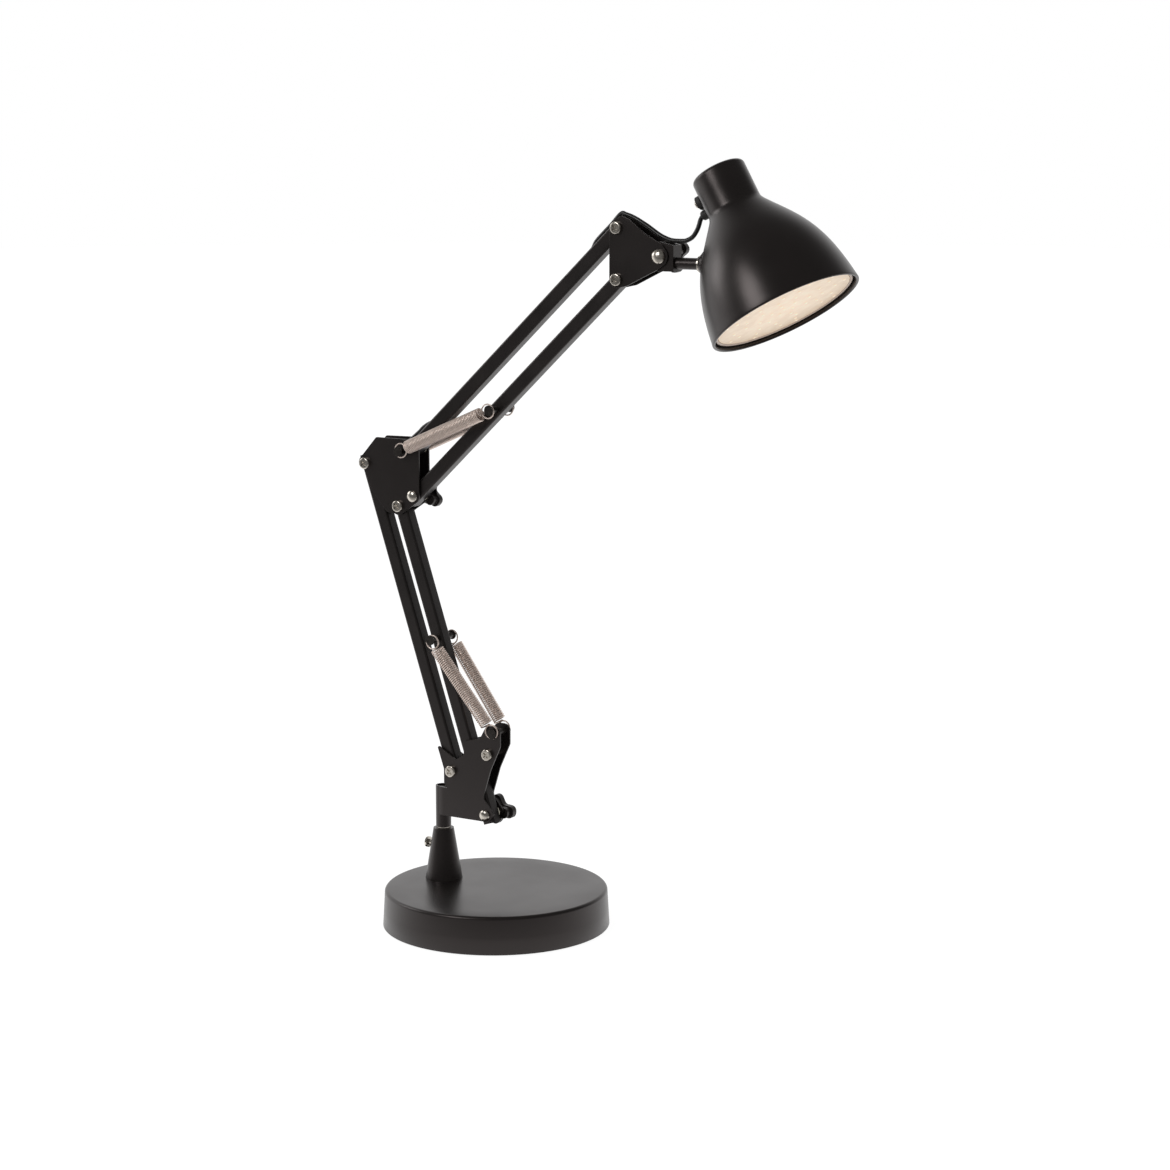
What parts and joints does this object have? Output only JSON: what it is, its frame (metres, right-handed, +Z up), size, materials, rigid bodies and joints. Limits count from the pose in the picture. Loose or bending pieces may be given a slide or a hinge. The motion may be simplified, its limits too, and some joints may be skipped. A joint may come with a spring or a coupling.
{
  "type": "swing-arm table lamp",
  "caption": "Swing-arm table lamp: round weighted base, turning post, two sprung parallel-bar arms and a bell shade with a built-in LED disc.",
  "frame": {"origin": "centre of the base's underside", "axes": "+Z up; +X from the post towards the shade, in the plane of the arms; the wing knobs are on the +Y side"},
  "size_m": [0.3921, 0.165, 0.5536],
  "materials": {
    "black_paint": "satin black powder coat",
    "cast_weight": "as cast",
    "felt": "black felt",
    "nickel": "bright nickel plate",
    "black_oxide": "black oxide on steel",
    "spring_wire": "nickel-plated spring wire",
    "nylon": "natural nylon",
    "black_plastic": "moulded, slightly glossy",
    "lead_sheath": "black lead sheath",
    "black_rubber": "matte",
    "die_cast": "plain die casting",
    "board": "white solder mask",
    "chips": "yellow phosphor",
    "diffuser": "warm white, lit from behind"
  },
  "bodies": {
    "base": {"base_cover": "black_paint", "base_weight": "cast_weight", "base_pad": "felt", "cone_socket": "black_paint", "socket_bolt": "nickel", "set_screw": "nickel"},
    "lower_bracket": {"lower_bracket": "black_paint", "pan_pin": "nickel", "lower_screws": "nickel", "lower_pivot_bolt": "nickel", "lower_nuts": "nickel", "lower_washers": "nylon", "bracket_spring_stud": "black_oxide"},
    "lower_front_arm": {"lower_front_bar": "black_paint", "lower_front_bushes": "nylon", "lower_arm_stud": "black_oxide", "lower_spring_front": "spring_wire", "lower_spring_rear": "spring_wire"},
    "lower_rear_arm": {"lower_rear_bar": "black_paint", "lower_rear_bushes": "nylon"},
    "elbow": {"elbow_front_plate": "black_paint", "elbow_rear_plate": "black_paint", "elbow_screws": "nickel", "elbow_pivot_bolt": "nickel", "elbow_nuts": "nickel", "elbow_washers": "nylon", "elbow_spring_pin": "black_oxide", "elbow_lead": "lead_sheath"},
    "upper_bottom_arm": {"upper_bottom_bar": "black_paint", "upper_bottom_bushes": "nylon", "upper_arm_stud": "black_oxide", "upper_spring_front": "spring_wire", "upper_spring_rear": "spring_wire"},
    "upper_top_arm": {"upper_top_bar": "black_paint", "upper_top_bushes": "nylon", "arm_lead": "lead_sheath"},
    "head_bracket": {"head_front_plate": "black_paint", "head_rear_plate": "black_paint", "head_screws": "nickel", "head_nuts": "nickel", "head_washers": "nylon", "tilt_bolt": "nickel", "bracket_lead": "lead_sheath"},
    "clevis": {"clevis": "black_paint", "stem": "black_paint", "stem_nut": "nickel"},
    "shade": {"stem_washer": "nickel", "dished_washer": "black_paint", "shade": "black_paint", "led_heat_sink": "die_cast", "led_board": "board", "led_chips": "chips", "diffuser": "diffuser", "lead_grommet": "black_rubber", "lead_clamp": "black_rubber", "clamp_screw": "nickel", "shade_lead": "lead_sheath"},
    "lower_knob": {"lower_knob": "black_plastic"},
    "elbow_knob": {"elbow_knob": "black_plastic"},
    "head_knob": {"head_knob": "black_plastic"}
  },
  "joints": [
    {"name": "pan", "type": "hinge", "parent": "base", "child": "lower_bracket", "pos_m": [-0.046, 0, 0.066], "axis": [0, 0, 1], "continuous": true},
    {"name": "lower_arm", "type": "hinge", "parent": "lower_bracket", "child": "lower_rear_arm", "pos_m": [-0.034, 0, 0.111], "axis": [0, 1, 0], "range_deg": [-10, 11]},
    {"name": "lower_front_pivot", "type": "hinge", "parent": "lower_bracket", "child": "lower_front_arm", "pos_m": [-0.005, 0, 0.0815], "axis": [0, 1, 0], "range_deg": [-10, 11], "deforming": ["lower_spring_front", "lower_spring_rear"]},
    {"name": "elbow_level", "type": "hinge", "parent": "lower_rear_arm", "child": "elbow", "pos_m": [-0.10755, 0, 0.33209], "axis": [0, 1, 0], "range_deg": [-11, 10], "deforming": ["elbow_lead"]},
    {"name": "upper_arm", "type": "hinge", "parent": "elbow", "child": "upper_top_arm", "pos_m": [-0.06605, 0, 0.34559], "axis": [0, 1, 0], "range_deg": [-12, 63]},
    {"name": "upper_bottom_pivot", "type": "hinge", "parent": "elbow", "child": "upper_bottom_arm", "pos_m": [-0.06605, 0, 0.31059], "axis": [0, 1, 0], "range_deg": [-12, 63], "deforming": ["upper_spring_front", "upper_spring_rear"]},
    {"name": "head_level", "type": "hinge", "parent": "upper_top_arm", "child": "head_bracket", "pos_m": [0.10526, 0, 0.50646], "axis": [0, 1, 0], "range_deg": [-63, 12]},
    {"name": "head_tilt", "type": "hinge", "parent": "head_bracket", "child": "clevis", "pos_m": [0.13826, 0, 0.48786], "axis": [0, 1, 0], "range_deg": [-60, 60], "deforming": ["bracket_lead"]},
    {"name": "shade_swivel", "type": "hinge", "parent": "clevis", "child": "shade", "pos_m": [0.17326, 0, 0.48326], "axis": [1, 0, 0], "range_deg": [-90, 90], "deforming": ["shade_lead"]},
    {"name": "lower_knob_turn", "type": "hinge", "parent": "lower_bracket", "child": "lower_knob", "pos_m": [-0.005, 0, 0.0815], "axis": [0, 1, 0], "continuous": true},
    {"name": "elbow_knob_turn", "type": "hinge", "parent": "elbow", "child": "elbow_knob", "pos_m": [-0.06605, 0, 0.31059], "axis": [0, 1, 0], "continuous": true},
    {"name": "head_knob_turn", "type": "hinge", "parent": "head_bracket", "child": "head_knob", "pos_m": [0.13826, 0, 0.48786], "axis": [0, 1, 0], "continuous": true}
  ],
  "couplings": [
    {"joint": "lower_front_pivot", "follows": "lower_arm", "ratio": 1},
    {"joint": "elbow_level", "follows": "lower_arm", "ratio": -1},
    {"joint": "upper_bottom_pivot", "follows": "upper_arm", "ratio": 1},
    {"joint": "head_level", "follows": "upper_arm", "ratio": -1}
  ]
}
